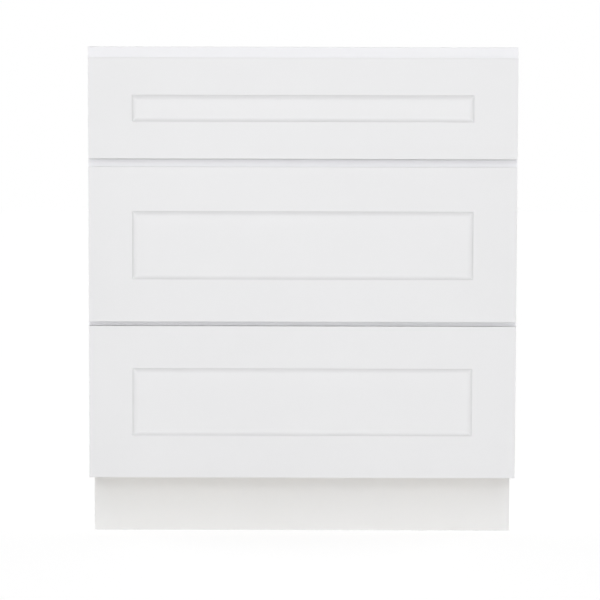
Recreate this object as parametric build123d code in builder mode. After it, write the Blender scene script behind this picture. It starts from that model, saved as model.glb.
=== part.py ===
from build123d import *
import math
import os

# A face-frame base cabinet with three drawers. Sizes are in millimetres. X runs across the cabinet
# to its right, Y from the drawer fronts to the wall, and Z up. The origin is on the floor, under
# the middle of the cabinet with its drawers shut.

# Cabinet, without its drawer fronts
cabinet_width = 762.0
cabinet_height = 876.3
cabinet_depth = 609.6

# Plywood boards of the carcass
side_thickness = 12.7
side_inset = 1.0  # how far the face frame stands proud of each side
back_thickness = 12.7
back_rebate = 6.35  # how far the back is let into each side
deck_thickness = 12.7
deck_housing = 6.35  # how deep the deck is housed in each side
housing_fit = 0.1  # glue line round a board in its groove

# Toe kick
kick_height = 114.3
kick_setback = 76.2  # from the face frame's front
kick_cover_thickness = 6.35
kick_cover_gap = 1.0  # over the cover, under the notch of the sides
kick_board_thickness = 12.7

# Face frame
frame_thickness = 19.05
frame_member = 38.1  # width of a stile or rail
frame_arris = 1.0
tenon_length = 19.0
tenon_thickness = 8.0
tenon_shoulder = 6.35

# Corner braces and the worktop's screw holes
brace_leg = 110.0
brace_height = 28.0
brace_wall = 4.0
brace_screw_from_corner = 75.0
worktop_hole_inset = 40.0
worktop_hole_radius = 2.5
worktop_boss_radius = 7.0

# Drawer fronts, from the top down
front_side_reveal = 2.0  # face frame seen beside each end of a front
front_thickness = 19.05
top_reveal = 20.3  # face frame seen over the top front
top_front_height = 177.6
upper_gap = 14.1
middle_front_height = 274.3
lower_gap = 7.7
bottom_overhang = 2.8  # how far the bottom front hangs below the face frame
front_arris = 0.6

# Framed construction of a front
front_stile_width = 77.0
shallow_rail_width = 65.0
deep_rail_width = 75.0
middle_top_rail_width = 78.0
sticking_width = 8.5  # hollow moulding round the panel
sticking_drop = 4.1
sticking_run_out = 1.5  # degrees left between the panel and the moulding, where it ends
sticking_lip = 0.9  # from the moulding's inner edge down to the panel
groove_past_sticking = 1.0  # how much deeper the panel's groove is than the moulding is wide
front_panel_thickness = 6.35
panel_float = 1.5  # room for the panel to move in its groove
panel_fit = 0.05

# Bumpers between the fronts and the face frame
bumper_thickness = 1.0
bumper_radius = 4.0
bumper_from_end = 25.0
shut_clearance = 0.3  # between a shut front and its bumpers

# Drawer boxes
box_board_thickness = 16.0
box_bottom_thickness = 9.0
box_bottom_recess = 13.0  # from the box's lower edge up to its bottom
box_bottom_groove = 6.35
box_side_gap = 5.0  # between a box and the side of its opening
box_headroom = 32.0
box_lift = 14.3  # a box's lower edge over its opening's lower edge
box_arris = 2.0
dovetail_pitch = 34.0
pin_narrow = 7.0  # width of a pin at the end of the side board
pin_wide = 11.0
front_screw_from_edge = 34.0

# Undermount runners
runner_setback = 3.0  # behind the face frame's front
runner_rear_gap = 60.5  # from a runner's rear end to the back panel, which the rear bracket spans
runner_steel = 1.5
runner_bend = 2.0
runner_play = 0.3  # between members that slide
slide_width = 26.0
slide_to_box = 0.5
cabinet_member_lip = 11.5
cabinet_member_height = 32.0
drawer_member_skirt = 13.0
middle_member_setback = 138.4  # from the front of a shut drawer's box to its middle members
runner_screw_height = 20.0

# Rear brackets of the runners
bracket_plate = 4.0
bracket_height = 44.0
bracket_margin = 6.0
bracket_tongue = 26.0  # how far its tongue reaches into the runner
bracket_tongue_height = 9.0
bracket_fit = 0.2
bracket_rib = 3.0
bracket_screws = (17.0, 34.0)

# Locking clips at the front of the drawer members
clip_length = 58.0
clip_width = 34.0
clip_plate = 3.0
clip_body_height = 9.0
clip_body_inset = 6.0
clip_lever_length = 14.0
clip_finger_from_front = 24.0
clip_finger_width = 8.0
clip_finger_height = 4.0
clip_finger_reach = 3.0
clip_finger_fit = 0.2

# Pan-head screws
screw_length = 13.0
front_screw_length = 27.0
screw_shank_radius = 1.9
screw_head_radius = 4.0
screw_head_height = 2.0
screw_head_flat = 2.0  # radius of the flat on top of the head
screw_fit = 0.1
recess_length = 4.2
recess_width = 1.1
recess_depth = 1.2

# Planes that the pieces share, across the cabinet
frame_x = cabinet_width / 2
side_outer = frame_x - side_inset
side_inner = side_outer - side_thickness
opening_x = frame_x - frame_member
front_x = frame_x - front_side_reveal
box_outer = opening_x - box_side_gap
box_inner = box_outer - box_board_thickness
slide_outer = box_inner - slide_to_box
slide_inner = slide_outer - slide_width

# Planes from front to back
front_gap = bumper_thickness + shut_clearance
front_y = -(front_thickness + front_gap + cabinet_depth) / 2
front_back = front_y + front_thickness
frame_y = front_back + front_gap
frame_back = frame_y + frame_thickness
wall_y = frame_y + cabinet_depth
back_y = wall_y - back_thickness
kick_y = frame_y + kick_setback
kick_cover_back = kick_y + kick_cover_thickness
kick_board_back = kick_cover_back + kick_board_thickness
runner_front = frame_y + runner_setback
runner_rear = back_y - runner_rear_gap
box_front_inner = front_back + box_board_thickness
box_rear = front_back + runner_rear - runner_front
box_back_inner = box_rear - box_board_thickness
middle_member_front = front_back + middle_member_setback

# The moulding and the groove along a front's stiles and rails
panel_recess = sticking_drop + sticking_lip
panel_groove = sticking_width + groove_past_sticking
sticking_steepness = 2 * math.degrees(math.atan2(sticking_drop, sticking_width)) - sticking_run_out

# Heights
deck_top = kick_height + frame_member
deck_bottom = deck_top - deck_thickness
top_front = (cabinet_height - top_reveal - top_front_height, cabinet_height - top_reveal)
middle_front = (top_front[0] - upper_gap - middle_front_height, top_front[0] - upper_gap)
bottom_front = (kick_height - bottom_overhang, middle_front[0] - lower_gap)
fronts = (top_front, middle_front, bottom_front)


def rail_between(upper, lower):
    """The lowest and highest z of the face-frame rail behind the gap between two fronts."""
    middle = (upper[0] + lower[1]) / 2
    return (middle - frame_member / 2, middle + frame_member / 2)


top_rail = (cabinet_height - frame_member, cabinet_height)
upper_rail = rail_between(top_front, middle_front)
lower_rail = rail_between(middle_front, bottom_front)
bottom_rail = (kick_height, deck_top)
rails = (top_rail, upper_rail, lower_rail, bottom_rail)
openings = [(below[1], above[0]) for above, below in zip(rails, rails[1:])]


def save(piece, name):
    """Names a finished piece and writes it to its STEP file."""
    piece.part.label = name
    export_step(piece.part, f"parts/{name}.step")


def save_both_hands(right, name):
    """Saves a right-hand piece, and its mirror image for the left."""
    save(right, f"{name}_right")
    with BuildPart() as left:
        mirror(right.part, about=Plane.YZ)
    save(left, f"{name}_left")


def block(x, y, z, mode=Mode.ADD):
    """A square-cut block in the open part, between its lowest and highest x, y and z."""
    with BuildSketch(Plane.XY.offset(z[0])) as outline:
        with Locations(((x[0] + x[1]) / 2, (y[0] + y[1]) / 2)):
            Rectangle(x[1] - x[0], y[1] - y[0])
    extrude(outline.sketch, amount=z[1] - z[0], mode=mode)


def save_screws(places, length, name):
    """Saves pan-head screws: each head bears on its plane, and its shank runs along the normal."""
    with BuildPart() as screw:
        with BuildSketch(Plane.XZ):
            with BuildLine():
                Line((0, -screw_head_height), (screw_head_flat, -screw_head_height))
                TangentArc(
                    (screw_head_flat, -screw_head_height),
                    (screw_head_radius, 0),
                    tangent=(1, 0),
                )
                Polyline(
                    (screw_head_radius, 0),
                    (screw_shank_radius, 0),
                    (screw_shank_radius, length - screw_shank_radius),
                    (0, length),
                    (0, -screw_head_height),
                )
            make_face()
        revolve(axis=Axis.Z)
        with BuildSketch(Plane.XY.offset(-screw_head_height)):
            Rectangle(recess_length, recess_width)
            Rectangle(recess_width, recess_length)
        extrude(amount=recess_depth, mode=Mode.SUBTRACT)
    with BuildPart() as screws:
        with Locations(*places):
            add(screw.part)
    save(screws, name)


def drill(places, length=screw_length):
    """Screw holes in the open part."""
    with Locations(*places):
        Cylinder(
            screw_shank_radius + screw_fit,
            length + screw_fit,
            align=(Align.CENTER, Align.CENTER, Align.MIN),
            mode=Mode.SUBTRACT,
        )


# Where the carcass screws go: each plane lies under a screw's head and looks along its shank
bracket_x = (slide_outer + opening_x) / 2
brace_middle_y = (frame_back + back_y) / 2
brace_screw_z = cabinet_height - brace_height / 2 - brace_wall / 2

runner_screws = [
    Plane(
        origin=(hand * (opening_x - runner_steel), frame_y + frame_thickness / 2, low + runner_screw_height),
        z_dir=(hand, 0, 0),
    )
    for hand in (-1, 1)
    for low, high in openings
]
bracket_screw_places = [
    Plane(origin=(hand * bracket_x, back_y - bracket_plate, low + height), z_dir=(0, 1, 0))
    for hand in (-1, 1)
    for low, high in openings
    for height in bracket_screws
]
brace_side_screws = [
    Plane(
        origin=(hand * (side_inner - brace_wall), corner - end * brace_screw_from_corner, brace_screw_z),
        z_dir=(hand, 0, 0),
    )
    for hand in (-1, 1)
    for end, corner in ((-1, frame_back), (1, back_y))
]
brace_frame_screws = [
    Plane(
        origin=(hand * (side_inner - brace_screw_from_corner), frame_back + brace_wall, brace_screw_z),
        z_dir=(0, -1, 0),
    )
    for hand in (-1, 1)
]
brace_back_screws = [
    Plane(
        origin=(hand * (side_inner - brace_screw_from_corner), back_y - brace_wall, brace_screw_z),
        z_dir=(0, 1, 0),
    )
    for hand in (-1, 1)
]


def make_carcass_boards():
    """The plywood box: two sides, a back, a deck and the two boards of the toe kick."""
    with BuildPart() as side:
        block((side_inner, side_outer), (frame_back, wall_y), (0, cabinet_height))
        block(
            (side_inner, side_outer),
            (frame_back, kick_cover_back),
            (0, kick_height),
            mode=Mode.SUBTRACT,
        )
        block(
            (side_inner, side_inner + back_rebate),
            (back_y, wall_y),
            (0, cabinet_height),
            mode=Mode.SUBTRACT,
        )
        block(
            (side_inner, side_inner + deck_housing),
            (frame_back, back_y),
            (deck_bottom - housing_fit, deck_top + housing_fit),
            mode=Mode.SUBTRACT,
        )
        drill(brace_side_screws)
    save_both_hands(side, "side_panel")

    with BuildPart() as back_panel:
        back_x = side_inner + back_rebate - housing_fit
        block((-back_x, back_x), (back_y, wall_y), (0, cabinet_height))
        drill(bracket_screw_places + brace_back_screws)
    save(back_panel, "back_panel")

    with BuildPart() as deck:
        deck_x = side_inner + deck_housing - housing_fit
        block((-deck_x, deck_x), (frame_back, back_y), (deck_bottom, deck_top))
    save(deck, "bottom_panel")

    with BuildPart() as kick_board:
        block((-side_inner, side_inner), (kick_cover_back, kick_board_back), (0, deck_bottom))
    save(kick_board, "toe_kick_board")

    with BuildPart() as kick_cover:
        block(
            (-side_outer, side_outer),
            (kick_y, kick_cover_back),
            (0, kick_height - kick_cover_gap),
        )
        fillet(kick_cover.faces().sort_by(Axis.Y)[0].edges().filter_by(Axis.Z), frame_arris)
    save(kick_cover, "toe_kick_cover")


def make_face_frame():
    """Two stiles and four rails, with stub tenons on the rails."""
    with BuildPart() as frame_blank:
        block((-frame_x, frame_x), (frame_y, frame_back), (kick_height, cabinet_height))
        fillet(frame_blank.faces().sort_by(Axis.Y)[0].edges(), frame_arris)

    tenon_y = (
        frame_y + (frame_thickness - tenon_thickness) / 2,
        frame_y + (frame_thickness + tenon_thickness) / 2,
    )

    with BuildPart() as stile:
        block((opening_x, frame_x), (frame_y, frame_back), (kick_height, cabinet_height))
        for low, high in rails:
            block(
                (opening_x, opening_x + tenon_length + housing_fit),
                tenon_y,
                (low + tenon_shoulder, high - tenon_shoulder),
                mode=Mode.SUBTRACT,
            )
        drill(runner_screws)
        add(frame_blank.part, mode=Mode.INTERSECT)
    save_both_hands(stile, "frame_stile")

    names = ("frame_top_rail", "frame_upper_rail", "frame_lower_rail", "frame_bottom_rail")
    for name, (low, high) in zip(names, rails):
        with BuildPart() as rail:
            block((-opening_x, opening_x), (frame_y, frame_back), (low, high))
            block(
                (-opening_x - tenon_length, opening_x + tenon_length),
                tenon_y,
                (low + tenon_shoulder, high - tenon_shoulder),
            )
            if name == "frame_top_rail":
                drill(brace_frame_screws)
            add(frame_blank.part, mode=Mode.INTERSECT)
        save(rail, name)


def make_corner_braces():
    """Four moulded braces in the top corners, each with a boss for a worktop screw."""
    corner_x = side_inner
    corner_y = frame_back
    low = cabinet_height - brace_height
    with BuildPart() as braces:
        with BuildSketch(Plane.XY.offset(cabinet_height - brace_wall)) as plate:
            with BuildLine():
                Polyline(
                    (corner_x, corner_y),
                    (corner_x - brace_leg, corner_y),
                    (corner_x - brace_leg, corner_y + brace_wall),
                    (corner_x - brace_wall, corner_y + brace_leg),
                    (corner_x, corner_y + brace_leg),
                    close=True,
                )
            make_face()
        extrude(plate.sketch, amount=brace_wall)
        block((corner_x - brace_leg, corner_x), (corner_y, corner_y + brace_wall), (low, cabinet_height))
        block((corner_x - brace_wall, corner_x), (corner_y, corner_y + brace_leg), (low, cabinet_height))
        hole_place = Plane.XY.offset(low).shift_origin(
            (corner_x - worktop_hole_inset, corner_y + worktop_hole_inset, low)
        )
        with BuildSketch(hole_place) as boss:
            Circle(worktop_boss_radius)
        extrude(boss.sketch, amount=brace_height)
        with BuildSketch(hole_place) as hole:
            Circle(worktop_hole_radius)
        extrude(hole.sketch, amount=brace_height, mode=Mode.SUBTRACT)
        mirror(about=Plane.XZ.offset(-brace_middle_y))
        mirror(about=Plane.YZ)
        drill(brace_side_screws + brace_frame_screws + brace_back_screws)
    save(braces, "corner_braces")


def make_bumpers():
    """Clear bumpers on the face frame, one behind each corner of each drawer front."""
    bumper_x = (opening_x + front_x) / 2
    with BuildPart() as bumpers:
        for low, high in fronts:
            for height in (max(low, kick_height) + bumper_from_end, high - bumper_from_end):
                for hand in (-1, 1):
                    place = Plane(origin=(hand * bumper_x, frame_y, height), z_dir=(0, -1, 0))
                    with BuildSketch(place) as disc:
                        Circle(bumper_radius)
                    extrude(disc.sketch, amount=bumper_thickness)
        rims = bumpers.faces().filter_by(Axis.Y).group_by(Axis.Y)[0].edges()
        fillet(rims, bumper_thickness / 2)
    save(bumpers, "frame_bumpers")


def folded_section(plane, *corners):
    """The section of a strip of runner steel, folded at its corners, on its left-hand side."""
    with BuildSketch(plane) as section:
        with BuildLine():
            FilletPolyline(*corners, radius=runner_bend)
            offset(amount=runner_steel, side=Side.LEFT)
        make_face()
    return section.sketch


def make_cabinet_members():
    """The six fixed members of the runners: a folded trough, with a guide for the middle member."""
    with BuildPart() as members:
        for low, high in openings:
            start = Plane.XZ.offset(-runner_rear)
            trough = folded_section(
                start,
                (slide_inner, low + cabinet_member_lip),
                (slide_inner, low),
                (opening_x, low),
                (opening_x, low + cabinet_member_height),
            )
            extrude(trough, amount=runner_rear - runner_front)
            block(
                (slide_outer - runner_steel, slide_outer),
                (runner_front, runner_rear),
                (low + runner_steel, low + cabinet_member_lip),
            )
        mirror(about=Plane.YZ)
        drill(runner_screws)
    save(members, "runner_cabinet_members")


def make_brackets():
    """The six plastic brackets that carry the runners' rear ends on the back panel."""
    inner = slide_outer + bracket_fit
    outer = opening_x - runner_bend - bracket_fit
    with BuildPart() as brackets:
        for low, high in openings:
            seat = low + runner_steel
            plate_x = (inner - bracket_margin, outer + bracket_margin)
            block(plate_x, (back_y - bracket_plate, back_y), (low, low + bracket_height))
            block(
                (inner, outer),
                (runner_rear - bracket_tongue, back_y - bracket_plate),
                (seat, seat + bracket_tongue_height),
            )
            for rib_x in (inner, outer - bracket_rib):
                with BuildSketch(Plane.YZ.offset(rib_x)) as rib:
                    with BuildLine():
                        Polyline(
                            (back_y - bracket_plate, seat + bracket_tongue_height),
                            (runner_rear + bracket_fit, seat + bracket_tongue_height),
                            (back_y - bracket_plate, low + bracket_height),
                            close=True,
                        )
                    make_face()
                extrude(rib.sketch, amount=bracket_rib)
        mirror(about=Plane.YZ)
        drill(bracket_screw_places)
    save(brackets, "runner_rear_brackets")


def make_carcass_screws():
    """The screws of the runners, of their brackets and of the corner braces, all alike."""
    braces = brace_side_screws + brace_frame_screws + brace_back_screws
    save_screws(runner_screws + bracket_screw_places + braces, screw_length, "carcass_screws")


def framing(outer_corner, inward, length, face_width):
    """A stile or rail of a front in the open part: its section, from its outer edge inwards."""
    lip = face_width + sticking_width
    groove_back = panel_recess + front_panel_thickness + panel_fit
    plane = Plane(origin=outer_corner, x_dir=inward, z_dir=Vector(inward).cross(Vector(0, 1, 0)))
    with BuildSketch(plane) as section:
        with BuildLine():
            Line((0, 0), (face_width, 0))
            TangentArc(
                (face_width, 0),
                (lip, sticking_drop),
                tangent=Vector(1, 0).rotate(Axis.Z, sticking_steepness),
            )
            Polyline(
                (lip, sticking_drop),
                (lip, panel_recess - panel_fit),
                (lip - panel_groove, panel_recess - panel_fit),
                (lip - panel_groove, groove_back),
                (lip, groove_back),
                (lip, front_thickness),
                (0, front_thickness),
                (0, 0),
            )
        make_face()
    extrude(section.sketch, amount=length)


def make_front(name, front_z, rail_widths, screw_places):
    """A framed drawer front: two stiles, a top and a bottom rail coped over them, and a flat panel."""
    low, high = front_z
    stile_lip = front_x - front_stile_width - sticking_width
    rail_x = stile_lip + panel_groove - housing_fit
    panel_x = stile_lip + panel_groove - panel_float
    top_rail_width, bottom_rail_width = rail_widths
    panel_reach = sticking_width - panel_groove + panel_float

    with BuildPart() as front_blank:
        block((-front_x, front_x), (front_y, front_back), front_z)
        fillet(front_blank.faces().sort_by(Axis.Y)[0].edges(), front_arris)

    with BuildPart() as square_stiles:
        framing((front_x, front_y, high), (-1, 0, 0), high - low, front_stile_width)
        mirror(about=Plane.YZ)

    with BuildPart() as stile:
        framing((front_x, front_y, high), (-1, 0, 0), high - low, front_stile_width)
        add(front_blank.part, mode=Mode.INTERSECT)
        drill(screw_places, front_screw_length)
    save_both_hands(stile, f"{name}_front_stile")

    ends = (
        ("top", high, (0, 0, -1), top_rail_width),
        ("bottom", low, (0, 0, 1), bottom_rail_width),
    )
    for end, edge, inward, rail_width in ends:
        with BuildPart() as rail:
            start_x = rail_x if end == "bottom" else -rail_x
            framing((start_x, front_y, edge), inward, 2 * rail_x, rail_width)
            add(square_stiles.part, mode=Mode.SUBTRACT)
            add(front_blank.part, mode=Mode.INTERSECT)
        save(rail, f"{name}_front_{end}_rail")

    with BuildPart() as panel:
        block(
            (-panel_x, panel_x),
            (front_y + panel_recess, front_y + panel_recess + front_panel_thickness),
            (low + bottom_rail_width + panel_reach, high - top_rail_width - panel_reach),
        )
    save(panel, f"{name}_front_panel")


def make_box(name, box_z, screw_places):
    """A dovetailed drawer box, with a plywood bottom in grooves all round."""
    low, high = box_z
    bottom_low = low + box_bottom_recess
    bottom_high = bottom_low + box_bottom_thickness
    bottom_x = box_inner + box_bottom_groove - housing_fit
    bottom_y = (
        box_front_inner - box_bottom_groove + housing_fit,
        box_back_inner + box_bottom_groove - housing_fit,
    )
    box_middle_y = (front_back + box_rear) / 2

    # The rim that all four boards share, with its upper edges eased
    with BuildPart() as rim:
        block((-box_outer, box_outer), (front_back, box_rear), box_z)
        block((-box_inner, box_inner), (box_front_inner, box_back_inner), box_z, mode=Mode.SUBTRACT)
        fillet(rim.faces().sort_by(Axis.Z)[-1].edges(), box_arris)

    # Pins of the front and back boards, as they stand in the right side: the lowest one clears
    # the groove, and the highest one is half a pin
    first_pin = bottom_high + pin_wide
    bays = max(1, round((high - first_pin) / dovetail_pitch))
    with BuildPart() as pins:
        for step in range(bays + 1):
            middle = first_pin + step * (high - first_pin) / bays
            with BuildSketch(Plane.YZ.offset(box_inner)) as pin:
                with BuildLine():
                    Polyline(
                        (front_back, middle - pin_narrow / 2),
                        (box_front_inner, middle - pin_wide / 2),
                        (box_front_inner, middle + pin_wide / 2),
                        (front_back, middle + pin_narrow / 2),
                        close=True,
                    )
                make_face()
            extrude(pin.sketch, amount=box_board_thickness)
        mirror(about=Plane.XZ.offset(-box_middle_y))
        mirror(about=Plane.YZ)
        add(rim.part, mode=Mode.INTERSECT)

    with BuildPart() as groove:
        block(
            (-bottom_x - housing_fit, bottom_x + housing_fit),
            (bottom_y[0] - housing_fit, bottom_y[1] + housing_fit),
            (bottom_low, bottom_high + housing_fit),
        )

    with BuildPart() as side:
        block((box_inner, box_outer), (front_back, box_rear), box_z)
        add(rim.part, mode=Mode.INTERSECT)
        add(pins.part, mode=Mode.SUBTRACT)
        add(groove.part, mode=Mode.SUBTRACT)
    save_both_hands(side, f"{name}_box_side")

    with BuildPart() as front:
        block((-box_inner, box_inner), (front_back, box_front_inner), box_z)
        add(rim.part, mode=Mode.INTERSECT)
        add(pins.part.solids().filter_by(lambda pin: pin.center().Y < box_middle_y))
        add(groove.part, mode=Mode.SUBTRACT)
        drill(screw_places, front_screw_length)
    save(front, f"{name}_box_front")

    with BuildPart() as back:
        block((-box_inner, box_inner), (box_back_inner, box_rear), box_z)
        add(rim.part, mode=Mode.INTERSECT)
        add(pins.part.solids().filter_by(lambda pin: pin.center().Y > box_middle_y))
        add(groove.part, mode=Mode.SUBTRACT)
        for hand in (-1, 1):
            notch = sorted((hand * (slide_inner - slide_to_box), hand * box_inner))
            block(notch, (box_back_inner, box_rear), (low, bottom_low), mode=Mode.SUBTRACT)
    save(back, f"{name}_box_back")

    with BuildPart() as bottom:
        block((-bottom_x, bottom_x), bottom_y, (bottom_low, bottom_high))
    save(bottom, f"{name}_box_bottom")


def make_drawer_runners(name, opening_low, box_low):
    """The moving members of a drawer's two runners, and the clips that lock it to them."""
    seat = box_low + box_bottom_recess
    finger = (
        box_front_inner + clip_finger_from_front,
        box_front_inner + clip_finger_from_front + clip_finger_width,
    )
    finger_z = (seat - clip_plate - clip_finger_height, seat - clip_plate)

    with BuildPart() as drawer_members:
        cap = folded_section(
            Plane.XZ.offset(-box_rear),
            (slide_outer, seat - drawer_member_skirt),
            (slide_outer, seat),
            (slide_inner, seat),
            (slide_inner, seat - drawer_member_skirt),
        )
        extrude(cap, amount=box_rear - box_front_inner - slide_to_box)
        block(
            (slide_inner, slide_inner + runner_steel),
            (finger[0] - clip_finger_fit, finger[1] + clip_finger_fit),
            (finger_z[0] - clip_finger_fit, finger_z[1] + clip_finger_fit),
            mode=Mode.SUBTRACT,
        )
        mirror(about=Plane.YZ)
    save(drawer_members, f"{name}_runner_drawer_members")

    inset = runner_steel + runner_play
    tube_low, tube_high = opening_low + inset, seat - inset
    tube_width = slide_width - 2 * inset
    with BuildPart() as middle_members:
        with BuildSketch(Plane.XZ.offset(-box_rear)) as tube:
            with Locations(((slide_inner + slide_outer) / 2, (tube_low + tube_high) / 2)):
                RectangleRounded(tube_width, tube_high - tube_low, runner_bend)
                Rectangle(
                    tube_width - 2 * runner_steel,
                    tube_high - tube_low - 2 * runner_steel,
                    mode=Mode.SUBTRACT,
                )
        extrude(tube.sketch, amount=box_rear - middle_member_front)
        mirror(about=Plane.YZ)
    save(middle_members, f"{name}_runner_middle_members")

    with BuildPart() as clips:
        clip_x = (slide_inner - slide_to_box - clip_width, slide_inner - slide_to_box)
        clip_y = (box_front_inner, box_front_inner + clip_length)
        block(clip_x, clip_y, (seat - clip_plate, seat))
        block(
            (clip_x[0] + clip_body_inset, clip_x[1]),
            (clip_y[0] + clip_body_inset, clip_y[1] - clip_body_inset),
            (seat - clip_plate - clip_body_height, seat - clip_plate),
        )
        block(
            (clip_x[0], clip_x[0] + clip_body_inset),
            (clip_y[0] + clip_body_inset, clip_y[0] + clip_body_inset + clip_lever_length),
            (seat - clip_plate - clip_body_height, seat - clip_plate),
        )
        block((clip_x[1], slide_inner + runner_steel + clip_finger_reach), finger, finger_z)
        mirror(about=Plane.YZ)
    save(clips, f"{name}_clips")


def make_drawer(name, front_z, opening, rail_widths):
    """A drawer: its front, its box, its runners and the screws that hold the front."""
    box_z = (opening[0] + box_lift, opening[1] - box_headroom)
    screw_x = (front_x - front_stile_width - sticking_width + box_inner) / 2
    screw_places = [
        Plane(origin=(hand * screw_x, box_front_inner, height), z_dir=(0, -1, 0))
        for hand in (-1, 1)
        for height in (box_z[0] + front_screw_from_edge, box_z[1] - front_screw_from_edge)
    ]
    make_front(name, front_z, rail_widths, screw_places)
    make_box(name, box_z, screw_places)
    make_drawer_runners(name, opening[0], box_z[0])
    save_screws(screw_places, front_screw_length, f"{name}_front_screws")


os.makedirs("parts", exist_ok=True)
make_carcass_boards()
make_face_frame()
make_corner_braces()
make_bumpers()
make_cabinet_members()
make_brackets()
make_carcass_screws()
make_drawer("top_drawer", top_front, openings[0], (shallow_rail_width, shallow_rail_width))
make_drawer("middle_drawer", middle_front, openings[1], (middle_top_rail_width, deep_rail_width))
make_drawer("bottom_drawer", bottom_front, openings[2], (deep_rail_width, deep_rail_width))
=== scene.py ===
import math

import bmesh
import bpy
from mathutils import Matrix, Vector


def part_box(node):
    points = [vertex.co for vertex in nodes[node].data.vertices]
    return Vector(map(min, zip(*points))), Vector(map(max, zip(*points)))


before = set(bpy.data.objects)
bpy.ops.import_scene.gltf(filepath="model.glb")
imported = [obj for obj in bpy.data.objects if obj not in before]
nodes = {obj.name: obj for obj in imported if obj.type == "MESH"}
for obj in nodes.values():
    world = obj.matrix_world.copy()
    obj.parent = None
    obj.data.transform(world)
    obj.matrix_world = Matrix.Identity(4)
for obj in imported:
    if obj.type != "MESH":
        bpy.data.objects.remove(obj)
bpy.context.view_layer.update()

drawers = ("top_drawer", "middle_drawer", "bottom_drawer")
mm = 0.001

# ---------------------------------------------------------------------------------------------
# The camera stands square in front of the cabinet, at three quarters of its height, and looks
# slightly down, as in the photograph. A long lens keeps the upright edges nearly parallel. Its
# angles are in degrees.
# ---------------------------------------------------------------------------------------------

camera_from_fronts = 3538 * mm
camera_height = 656 * mm
camera_sideways = -2.8 * mm
camera_pitch = 3.669
camera_roll = -0.144
camera_yaw = 0.037
camera_lens = 120.0
camera_reach = 200.0  # past the floor's far edge

front_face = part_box("top_drawer_front_top_rail")[0].y
camera = bpy.data.objects.new("camera", bpy.data.cameras.new("camera"))
bpy.context.scene.collection.objects.link(camera)
camera.location = (camera_sideways, front_face - camera_from_fronts, camera_height)
camera.rotation_euler = [math.radians(angle) for angle in (90 - camera_pitch, camera_roll, camera_yaw)]
camera.data.lens = camera_lens
camera.data.clip_end = camera_reach
bpy.context.scene.camera = camera
bpy.context.scene.view_settings.view_transform = "Standard"

# ---------------------------------------------------------------------------------------------
# Plain studio light: three lamps one over the other in front, a pair at the front corners, and
# three behind for the sides, the back and the floor's bounce. The floor and the room look white
# themselves, but light the object no more than a pale studio would. The lamps' discs reach below
# the horizon, as light from a far white floor does, so this floor doesn't stand in their way.
# ---------------------------------------------------------------------------------------------

pure_white = (1, 1, 1, 1)
room_light = 0.08
floor_size = 60.0
floor_white = "#ececec"
floor_shadow_share = 0.2  # how much of its own light and shadow the floor shows the camera
floor_glow_strength = 1.12  # just enough for the lit floor to be white


def linear(code):
    """A colour written as sRGB hex, as linear red, green, blue and alpha."""
    levels = [int(code[i:i + 2], 16) / 255 for i in (1, 3, 5)]
    return [v / 12.92 if v <= 0.04045 else ((v + 0.055) / 1.055) ** 2.4 for v in levels] + [1.0]


def add(tree, kind, links=None, out=0, stops=None, **settings):
    """Adds a shader node with its settings, and gives each input a value or another's output."""
    node = tree.nodes.new("ShaderNode" + kind)
    for name, value in settings.items():
        setattr(node, name, value)
    for name, value in (links or {}).items():
        if isinstance(value, bpy.types.NodeSocket):
            tree.links.new(value, node.inputs[name])
        else:
            node.inputs[name].default_value = value
    for index, (position, colour) in enumerate(stops or ()):
        ramp = node.color_ramp.elements
        stop = ramp[index] if index < len(ramp) else ramp.new(position)
        stop.position = position
        stop.color = linear(colour)
    return node.outputs[out] if node.outputs else None


def blank_material(name):
    """A material with an empty node tree."""
    material = bpy.data.materials.new(name)
    material.use_nodes = True
    material.node_tree.nodes.clear()
    return material, material.node_tree


def seen_directly(tree):
    """1 where the camera, a reflection or a clear piece looks, and 0 where light bounces."""
    path = add(tree, "LightPath").node.outputs
    seen = add(tree, "Math", {0: path["Is Camera Ray"], 1: path["Is Glossy Ray"]}, operation="MAXIMUM")
    return add(tree, "Math", {0: seen, 1: path["Is Transmission Ray"]}, operation="MAXIMUM")


def studio_lamp(name, elevation, azimuth, strength, softness):
    """A wide lamp far away, so that it lights the whole cabinet evenly. Its angles are in degrees."""
    lamp = bpy.data.lights.new(name, "SUN")
    lamp.energy = strength
    lamp.angle = math.radians(softness)
    piece = bpy.data.objects.new(name, lamp)
    piece.rotation_euler = (math.radians(90 - elevation), 0, math.radians(azimuth))
    bpy.context.scene.collection.objects.link(piece)


studio_lamp("level_front_lamp", elevation=0, azimuth=0, strength=0.33, softness=6)
studio_lamp("front_lamp", elevation=18, azimuth=0, strength=0.33, softness=12)
studio_lamp("high_front_lamp", elevation=35, azimuth=0, strength=0.69, softness=40)
studio_lamp("back_lamp", elevation=35, azimuth=180, strength=0.3, softness=50)
for hand in (-1, 1):
    studio_lamp("corner_lamp", elevation=3, azimuth=hand * 32, strength=0.44, softness=10)
    studio_lamp("side_lamp", elevation=18, azimuth=hand * 118, strength=1.7, softness=45)

room = bpy.data.worlds.new("room")
bpy.context.scene.world = room
room.use_nodes = True
room.node_tree.nodes.clear()
tree = room.node_tree
room_strength = add(tree, "MapRange", {"Value": seen_directly(tree), 3: room_light, 4: 1.0})
white_room = add(tree, "Background", {"Color": pure_white, "Strength": room_strength})
add(tree, "OutputWorld", {"Surface": white_room})

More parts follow.
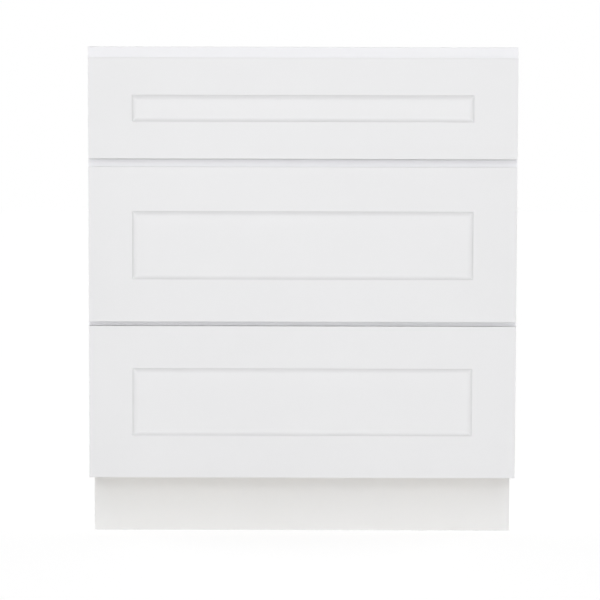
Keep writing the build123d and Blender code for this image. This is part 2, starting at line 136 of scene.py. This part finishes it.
floor_mesh = bmesh.new()
bmesh.ops.create_grid(floor_mesh, x_segments=1, y_segments=1, size=floor_size / 2)
floor = bpy.data.objects.new("floor", bpy.data.meshes.new("floor"))
floor_mesh.to_mesh(floor.data)
floor_mesh.free()
bpy.context.scene.collection.objects.link(floor)
material, tree = blank_material("white_studio_floor")
floor_paint = add(tree, "BsdfDiffuse", {"Color": linear(floor_white)})
floor_glow = add(tree, "Emission", {"Color": pure_white, "Strength": floor_glow_strength})
share = add(tree, "MapRange", {"Value": seen_directly(tree), 3: 0.0, 4: 1 - floor_shadow_share})
floor_look = add(tree, "MixShader", {0: share, 1: floor_paint, 2: floor_glow})
add(tree, "OutputMaterial", {"Surface": floor_look})
floor.data.materials.append(material)
floor.visible_shadow = False

# ---------------------------------------------------------------------------------------------
# Face frame: hardwood stiles and rails, glued on stub tenons, sanded and sprayed with a satin
# white lacquer. The lacquer lies slightly pebbled, and the wood's grain just shows through it.
# ---------------------------------------------------------------------------------------------

frame_white = "#f3f3f5"
frame_white_shade = "#f0f0f3"
peel_size = 5 * mm  # drawn coarser than the real 2 mm so that it shows
peel_depth = 0.012 * mm
telegraph_width = 3 * mm
telegraph_length = 140 * mm
telegraph_depth = 0.012 * mm
tone_drift = 350 * mm
satin = (0.33, 0.43)  # roughness, from the smoothest to the roughest place
lacquer_ior = 1.5


def sprayed_lacquer(name, white, shade, grain=None):
    """Satin lacquer over wood whose grain runs along an axis, or over smooth board."""
    material, tree = blank_material(name)
    place = add(tree, "TexCoord", out="Object")
    drift = add(tree, "TexNoise", {"Vector": place, "Scale": 1 / tone_drift, "Detail": 3.0})
    colour = add(tree, "ValToRGB", {"Fac": drift}, stops=((0.3, shade), (0.7, white)))
    peel = add(tree, "TexNoise", {"Vector": place, "Scale": 1 / peel_size, "Detail": 2.0, "Roughness": 0.4})
    polish = add(tree, "MapRange", {"Value": peel, 3: satin[0], 4: satin[1]})
    normal = add(tree, "Bump", {"Height": peel, "Strength": 1.0, "Distance": peel_depth})
    if grain is not None:
        stretch = [1 / telegraph_width] * 3
        stretch[grain] = 1 / telegraph_length
        along = add(tree, "Mapping", {"Vector": place, "Scale": stretch})
        fibre = add(tree, "TexNoise", {"Vector": along, "Scale": 1.0, "Detail": 3.0, "Roughness": 0.6})
        normal = add(tree, "Bump", {
            "Height": fibre, "Strength": 1.0, "Distance": telegraph_depth, "Normal": normal,
        })
    lacquer = add(tree, "BsdfPrincipled", {
        "Base Color": colour, "Roughness": polish, "IOR": lacquer_ior, "Normal": normal,
    })
    add(tree, "OutputMaterial", {"Surface": lacquer})
    return material


def finish_with(material, *names):
    """Gives CAD nodes a better material in their own slots."""
    for name in names:
        for slot in nodes[name].material_slots:
            slot.material = material


X, Y, Z = range(3)
finish_with(
    sprayed_lacquer("satin_white_lacquer_frame_rails", frame_white, frame_white_shade, grain=X),
    "frame_top_rail", "frame_upper_rail", "frame_lower_rail", "frame_bottom_rail",
)
finish_with(
    sprayed_lacquer("satin_white_lacquer_frame_stiles", frame_white, frame_white_shade, grain=Z),
    "frame_stile_left", "frame_stile_right",
)

# ---------------------------------------------------------------------------------------------
# Drawer fronts: hardwood stiles and rails round a fibreboard panel, sprayed all over with the
# same lacquer, a shade greyer in the photograph than the frame behind them.
# ---------------------------------------------------------------------------------------------

front_white = "#ebebec"
front_white_shade = "#e9e9ea"

front_rails = sprayed_lacquer("satin_white_lacquer_rails", front_white, front_white_shade, grain=X)
front_stiles = sprayed_lacquer("satin_white_lacquer_stiles", front_white, front_white_shade, grain=Z)
front_panels = sprayed_lacquer("satin_white_lacquer_panels", front_white, front_white_shade)
for drawer in drawers:
    finish_with(front_rails, f"{drawer}_front_top_rail", f"{drawer}_front_bottom_rail")
    finish_with(front_stiles, f"{drawer}_front_stile_left", f"{drawer}_front_stile_right")
    finish_with(front_panels, f"{drawer}_front_panel")

# ---------------------------------------------------------------------------------------------
# Toe kick cover: a thin white-lacquered board that hides the raw kick board and the edges of the
# sides. Its smooth face has no grain.
# ---------------------------------------------------------------------------------------------

kick_white = "#eeeeee"
kick_white_shade = "#ececeb"

finish_with(sprayed_lacquer("satin_white_lacquer_kick", kick_white, kick_white_shade), "toe_kick_cover")

# ---------------------------------------------------------------------------------------------
# Carcass boards: birch plywood. The back, the deck and the kick board are clear coated, and the
# sides are white outside. The cut edges show the plies, dark where the grain ends.
# ---------------------------------------------------------------------------------------------

veneer_light = "#eedfc0"
veneer_middle = "#e2cea6"
veneer_dark = "#bf9a69"
ply_long = "#e0c89d"
ply_end = "#c49f6d"
glue_line = "#987347"
ply_thickness = 1.41 * mm
ply_wander = 0.12 * mm  # how far a ply strays from its level
ply_wander_size = 16.7 * mm
glue_share = 0.07  # half a glue line, as a share of a ply
edge_cell = 0.8 * mm
figure_width = 85 * mm  # across one flame of the veneer's figure
figure_length = 900 * mm
ring_lines = 13.0
fibre_width = 0.9 * mm
fibre_length = 40 * mm
pore_width = 0.7 * mm  # drawn wider than the real 0.1 mm so that it shows
pore_length = 9 * mm
veneer_depth = 0.02 * mm
coated_face = 0.42  # roughness
cut_edge = 0.62


def stretched(tree, place, across, along, grain, shift=(0, 0, 0)):
    """The place, scaled so that a pattern is long along the grain and short across it."""
    scale = [1 / across] * 3
    scale[grain] = 1 / along
    return add(tree, "Mapping", {"Vector": place, "Scale": scale, "Location": shift})


def birch_figure(tree, place, grain, shift):
    """The colour and the fibres of a clear-coated birch face, with its grain along an axis."""
    wide = stretched(tree, place, figure_width, figure_length, grain, shift)
    field = add(tree, "TexNoise", {"Vector": wide, "Scale": 1.0, "Detail": 2.0, "Roughness": 0.4})
    lines = add(tree, "Math", {0: field, 1: ring_lines}, operation="MULTIPLY")
    rings = add(tree, "Math", {0: lines, 1: 0.5}, operation="PINGPONG")
    late_wood = add(tree, "MapRange", {"Value": rings, 1: 0.12, 2: 0.5}, interpolation_type="SMOOTHSTEP")
    thin = stretched(tree, place, fibre_width, fibre_length, grain, shift)
    fibre = add(tree, "TexNoise", {"Vector": thin, "Scale": 1.0, "Detail": 3.0, "Roughness": 0.7})
    short = stretched(tree, place, pore_width, pore_length, grain, shift)
    pore = add(tree, "TexNoise", {"Vector": short, "Scale": 1.0, "Detail": 1.0})

    # the rings come and go over the board, the heartwood side of it is darker, and pores are few
    slow = stretched(tree, place, 2 * figure_width, figure_length, grain, shift)
    drift = add(tree, "TexNoise", {"Vector": slow, "Scale": 1.0, "Detail": 1.0})
    ring_share = add(tree, "MapRange", {"Value": drift, 1: 0.35, 2: 0.65, 3: 0.12, 4: 0.4})
    drift_tone = add(tree, "MapRange", {"Value": drift, 1: 0.3, 2: 0.7, 3: 0.16, 4: 0.0})
    fibre_tone = add(tree, "MapRange", {"Value": fibre, 1: 0.3, 2: 0.75, 3: 0.0, 4: 0.36})
    pore_tone = add(tree, "MapRange", {"Value": pore, 1: 0.66, 2: 0.74, 3: 0.0, 4: 0.35})
    tone = add(tree, "Math", {0: late_wood, 1: ring_share, 2: drift_tone}, operation="MULTIPLY_ADD")
    tone = add(tree, "Math", {0: tone, 1: fibre_tone}, operation="ADD")
    tone = add(tree, "Math", {0: tone, 1: pore_tone}, operation="ADD")
    colour = add(tree, "ValToRGB", {"Fac": tone}, stops=(
        (0.05, veneer_light), (0.5, veneer_middle), (1.0, veneer_dark),
    ))
    return colour, fibre


def birch_plywood(name, thickness, low, grain, white_side=0):
    """Plywood whose thickness lies along one axis from low, with its face grain along another."""
    material, tree = blank_material(name)
    place = add(tree, "TexCoord", out="Object")
    colour, fibre = birch_figure(tree, place, grain, (low * 40, low * 17, low * 9))

    # the plies of a cut edge: every second one shows end grain
    depth = add(tree, "SeparateXYZ", {"Vector": place}).node.outputs[thickness]
    wobble = add(tree, "TexNoise", {"Vector": place, "Scale": 1 / ply_wander_size, "Detail": 1.0})
    waved = add(tree, "Math", {0: wobble, 1: ply_wander, 2: depth}, operation="MULTIPLY_ADD")
    inward = add(tree, "Math", {0: waved, 1: low}, operation="SUBTRACT")
    plies = add(tree, "Math", {0: inward, 1: ply_thickness}, operation="DIVIDE")
    pair = add(tree, "Math", {0: plies, 1: 1.0}, operation="PINGPONG")
    end_ply = add(tree, "Math", {0: pair, 1: 0.5}, operation="GREATER_THAN")
    in_ply = add(tree, "Math", {0: plies}, operation="FRACT")
    to_glue = add(tree, "Math", {0: in_ply, 1: 0.5}, operation="SUBTRACT")
    glue = add(tree, "Math", {0: to_glue, 1: 0.0, 2: glue_share}, operation="COMPARE")
    cells = add(tree, "TexNoise", {"Vector": place, "Scale": 1 / edge_cell, "Detail": 2.0})
    edge_tone = add(tree, "MapRange", {"Value": cells, 1: 0.3, 2: 0.7, 3: 0.75, 4: 1.0})
    edge = add(tree, "MixRGB", {"Fac": end_ply, "Color1": linear(ply_long), "Color2": linear(ply_end)})
    edge = add(tree, "MixRGB", {"Fac": glue, "Color1": edge, "Color2": linear(glue_line)})
    edge = add(tree, "MixRGB", {"Fac": 1.0, "Color1": edge, "Color2": edge_tone}, blend_type="MULTIPLY")

    facing = add(tree, "NewGeometry", out="Normal")
    toward = add(tree, "SeparateXYZ", {"Vector": facing}).node.outputs[thickness]
    flat = add(tree, "Math", {0: toward}, operation="ABSOLUTE")
    is_face = add(tree, "Math", {0: flat, 1: 0.7}, operation="GREATER_THAN")
    colour = add(tree, "MixRGB", {"Fac": is_face, "Color1": edge, "Color2": colour})
    shine = add(tree, "MapRange", {"Value": is_face, 3: cut_edge, 4: coated_face})
    relief = add(tree, "Math", {0: fibre, 1: cells}, operation="ADD")
    normal = add(tree, "Bump", {"Height": relief, "Strength": 1.0, "Distance": veneer_depth})
    if white_side:
        outside = add(tree, "Math", {0: toward, 1: white_side * 0.7}, operation=(
            "GREATER_THAN" if white_side > 0 else "LESS_THAN"
        ))
        drift = add(tree, "TexNoise", {"Vector": place, "Scale": 1 / tone_drift, "Detail": 3.0})
        white = add(tree, "ValToRGB", {"Fac": drift}, stops=((0.3, front_white_shade), (0.7, front_white)))
        colour = add(tree, "MixRGB", {"Fac": outside, "Color1": colour, "Color2": white})
    wood = add(tree, "BsdfPrincipled", {
        "Base Color": colour, "Roughness": shine, "IOR": lacquer_ior, "Normal": normal,
    })
    add(tree, "OutputMaterial", {"Surface": wood})
    return material


def low_corner(name, axis):
    """A node's lowest place along an axis."""
    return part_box(name)[0][axis]


for hand, name in ((-1, "side_panel_left"), (1, "side_panel_right")):
    finish_with(birch_plywood(f"birch_plywood_{name}", X, low_corner(name, X), Z, hand), name)
finish_with(birch_plywood("birch_plywood_back", Y, low_corner("back_panel", Y), Z), "back_panel")
finish_with(birch_plywood("birch_plywood_deck", Z, low_corner("bottom_panel", Z), X), "bottom_panel")
finish_with(birch_plywood("birch_plywood_kick", Y, low_corner("toe_kick_board", Y), X), "toe_kick_board")

# ---------------------------------------------------------------------------------------------
# Drawer boxes: solid birch boards, dovetailed at the corners and clear coated. Their ends, in
# the dovetails, show end grain. The bottoms are birch plywood, let into grooves.
# ---------------------------------------------------------------------------------------------

end_grain_light = "#d2b181"
end_grain_dark = "#b48d5c"
end_band = 48 * mm  # broad bands, as where the growth rings lie nearly along the board
end_cell = 0.7 * mm
board_face = 0.38  # roughness
board_end = 0.6


def solid_birch(name, grain, shift):
    """A clear-coated birch board with its grain along an axis, and end grain across it."""
    material, tree = blank_material(name)
    place = add(tree, "TexCoord", out="Object")
    colour, fibre = birch_figure(tree, place, grain, shift)
    # at a scale of 1 the bands repeat every math.tau / 10 along x + y + z
    bands = add(tree, "TexWave", {
        "Vector": place, "Scale": math.tau / 10 / end_band, "Distortion": 4.0, "Detail": 2.0,
        "Detail Scale": 1.5,
    }, bands_direction="DIAGONAL")
    cells = add(tree, "TexNoise", {"Vector": place, "Scale": 1 / end_cell, "Detail": 2.0})
    end_tone = add(tree, "Math", {0: bands, 1: 0.6, 2: cells}, operation="MULTIPLY_ADD")
    end = add(tree, "ValToRGB", {"Fac": end_tone}, stops=((0.35, end_grain_light), (1.0, end_grain_dark)))
    facing = add(tree, "NewGeometry", out="Normal")
    toward = add(tree, "SeparateXYZ", {"Vector": facing}).node.outputs[grain]
    flat = add(tree, "Math", {0: toward}, operation="ABSOLUTE")
    is_end = add(tree, "Math", {0: flat, 1: 0.6}, operation="GREATER_THAN")
    colour = add(tree, "MixRGB", {"Fac": is_end, "Color1": colour, "Color2": end})
    shine = add(tree, "MapRange", {"Value": is_end, 3: board_face, 4: board_end})
    normal = add(tree, "Bump", {"Height": fibre, "Strength": 1.0, "Distance": veneer_depth})
    wood = add(tree, "BsdfPrincipled", {
        "Base Color": colour, "Roughness": shine, "IOR": lacquer_ior, "Normal": normal,
    })
    add(tree, "OutputMaterial", {"Surface": wood})
    return material


box_sides = solid_birch("clear_coated_birch_sides", Y, (3.1, 0.4, 1.7))
box_ends = solid_birch("clear_coated_birch_ends", X, (0.2, 2.6, 5.3))
for drawer in drawers:
    finish_with(box_sides, f"{drawer}_box_side_left", f"{drawer}_box_side_right")
    finish_with(box_ends, f"{drawer}_box_front", f"{drawer}_box_back")
    bottom = f"{drawer}_box_bottom"
    finish_with(birch_plywood(f"birch_plywood_{bottom}", Z, low_corner(bottom, Z), X), bottom)

# ---------------------------------------------------------------------------------------------
# Undermount runners: three steel members each, roll-formed from zinc-plated strip. Rolling
# leaves fine lines along them, and the plating is slightly cloudy.
# ---------------------------------------------------------------------------------------------

zinc = "#c3c5c7"
zinc_cloud = "#adb0b4"
cloud_size = 22 * mm
rolling_line = 0.6 * mm
rolling_length = 90 * mm
rolling_depth = 0.008 * mm
zinc_shine = (0.26, 0.4)  # roughness, from the smoothest to the roughest line


def zinc_plate(name, along):
    """Bright zinc on rolled strip, with its rolling lines along an axis."""
    material, tree = blank_material(name)
    place = add(tree, "TexCoord", out="Object")
    cloud = add(tree, "TexNoise", {"Vector": place, "Scale": 1 / cloud_size, "Detail": 4.0})
    colour = add(tree, "ValToRGB", {"Fac": cloud}, stops=((0.35, zinc_cloud), (0.65, zinc)))
    lines = stretched(tree, place, rolling_line, rolling_length, along)
    rolled = add(tree, "TexNoise", {"Vector": lines, "Scale": 1.0, "Detail": 2.0})
    shine = add(tree, "MapRange", {"Value": rolled, 1: 0.3, 2: 0.7, 3: zinc_shine[0], 4: zinc_shine[1]})
    normal = add(tree, "Bump", {"Height": rolled, "Strength": 1.0, "Distance": rolling_depth})
    metal = add(tree, "BsdfPrincipled", {
        "Base Color": colour, "Metallic": 1.0, "Roughness": shine, "Normal": normal,
    })
    add(tree, "OutputMaterial", {"Surface": metal})
    return material


strip_steel = zinc_plate("zinc_plated_strip", Y)
finish_with(strip_steel, "runner_cabinet_members")
for drawer in drawers:
    finish_with(strip_steel, f"{drawer}_runner_middle_members", f"{drawer}_runner_drawer_members")

# ---------------------------------------------------------------------------------------------
# Screws: zinc-plated pan heads with a cross recess. They are too small for the plating's lines and
# clouds to show, so they share the strip's finish and look evenly bright.
# ---------------------------------------------------------------------------------------------

finish_with(zinc_plate("zinc_plated_screws", Z), "carcass_screws", *(f"{d}_front_screws" for d in drawers))

# ---------------------------------------------------------------------------------------------
# Moulded parts: the corner braces and the runners' rear brackets are off-white, and the locking
# clips under the drawers dark grey. The moulds are lightly spark-textured.
# ---------------------------------------------------------------------------------------------

brace_white = "#e6e6e1"
bracket_white = "#dcdcd6"
clip_grey = "#54575a"
mould_grit = 0.8 * mm
grit_depth = 0.02 * mm
flow_size = 40 * mm
flow_gain = 1.06  # how much paler the plastic is where it flowed last
shine_spread = 0.06
nylon_ior = 1.49


def moulded_plastic(name, colour, roughness):
    """A moulded plastic with the fine even texture of its mould."""
    material, tree = blank_material(name)
    place = add(tree, "TexCoord", out="Object")
    grit = add(tree, "TexNoise", {"Vector": place, "Scale": 1 / mould_grit, "Detail": 2.0})
    flow = add(tree, "TexNoise", {"Vector": place, "Scale": 1 / flow_size, "Detail": 2.0})
    pale = [min(1.0, v * flow_gain) for v in linear(colour)[:3]] + [1.0]
    tint = add(tree, "MixRGB", {"Fac": flow, "Color1": linear(colour), "Color2": pale})
    shine = add(tree, "MapRange", {
        "Value": grit, 3: roughness - shine_spread, 4: roughness + shine_spread,
    })
    normal = add(tree, "Bump", {"Height": grit, "Strength": 1.0, "Distance": grit_depth})
    plastic = add(tree, "BsdfPrincipled", {
        "Base Color": tint, "Roughness": shine, "IOR": nylon_ior, "Normal": normal,
    })
    add(tree, "OutputMaterial", {"Surface": plastic})
    return material


finish_with(moulded_plastic("moulded_nylon_braces", brace_white, 0.5), "corner_braces")
finish_with(moulded_plastic("moulded_nylon_brackets", bracket_white, 0.48), "runner_rear_brackets")
clip_plastic = moulded_plastic("moulded_acetal_clips", clip_grey, 0.42)
for drawer in drawers:
    finish_with(clip_plastic, f"{drawer}_clips")

# ---------------------------------------------------------------------------------------------
# Bumpers: small soft discs of clear polyurethane, stuck on the frame behind each front's corners.
# They show the white behind them, so they look white themselves, with a wet shine.
# ---------------------------------------------------------------------------------------------

gel_white = "#eff0ec"
gel_clearness = 0.15
gel_ior = 1.5
haze_size = 1.5 * mm
gel_shine = (0.15, 0.3)  # roughness

material, tree = blank_material("clear_polyurethane")
place = add(tree, "TexCoord", out="Object")
haze = add(tree, "TexNoise", {"Vector": place, "Scale": 1 / haze_size, "Detail": 2.0})
shine = add(tree, "MapRange", {"Value": haze, 3: gel_shine[0], 4: gel_shine[1]})
gel = add(tree, "BsdfPrincipled", {
    "Base Color": linear(gel_white), "Roughness": shine, "IOR": gel_ior,
    "Transmission Weight": gel_clearness,
})
add(tree, "OutputMaterial", {"Surface": gel})
finish_with(material, "frame_bumpers")
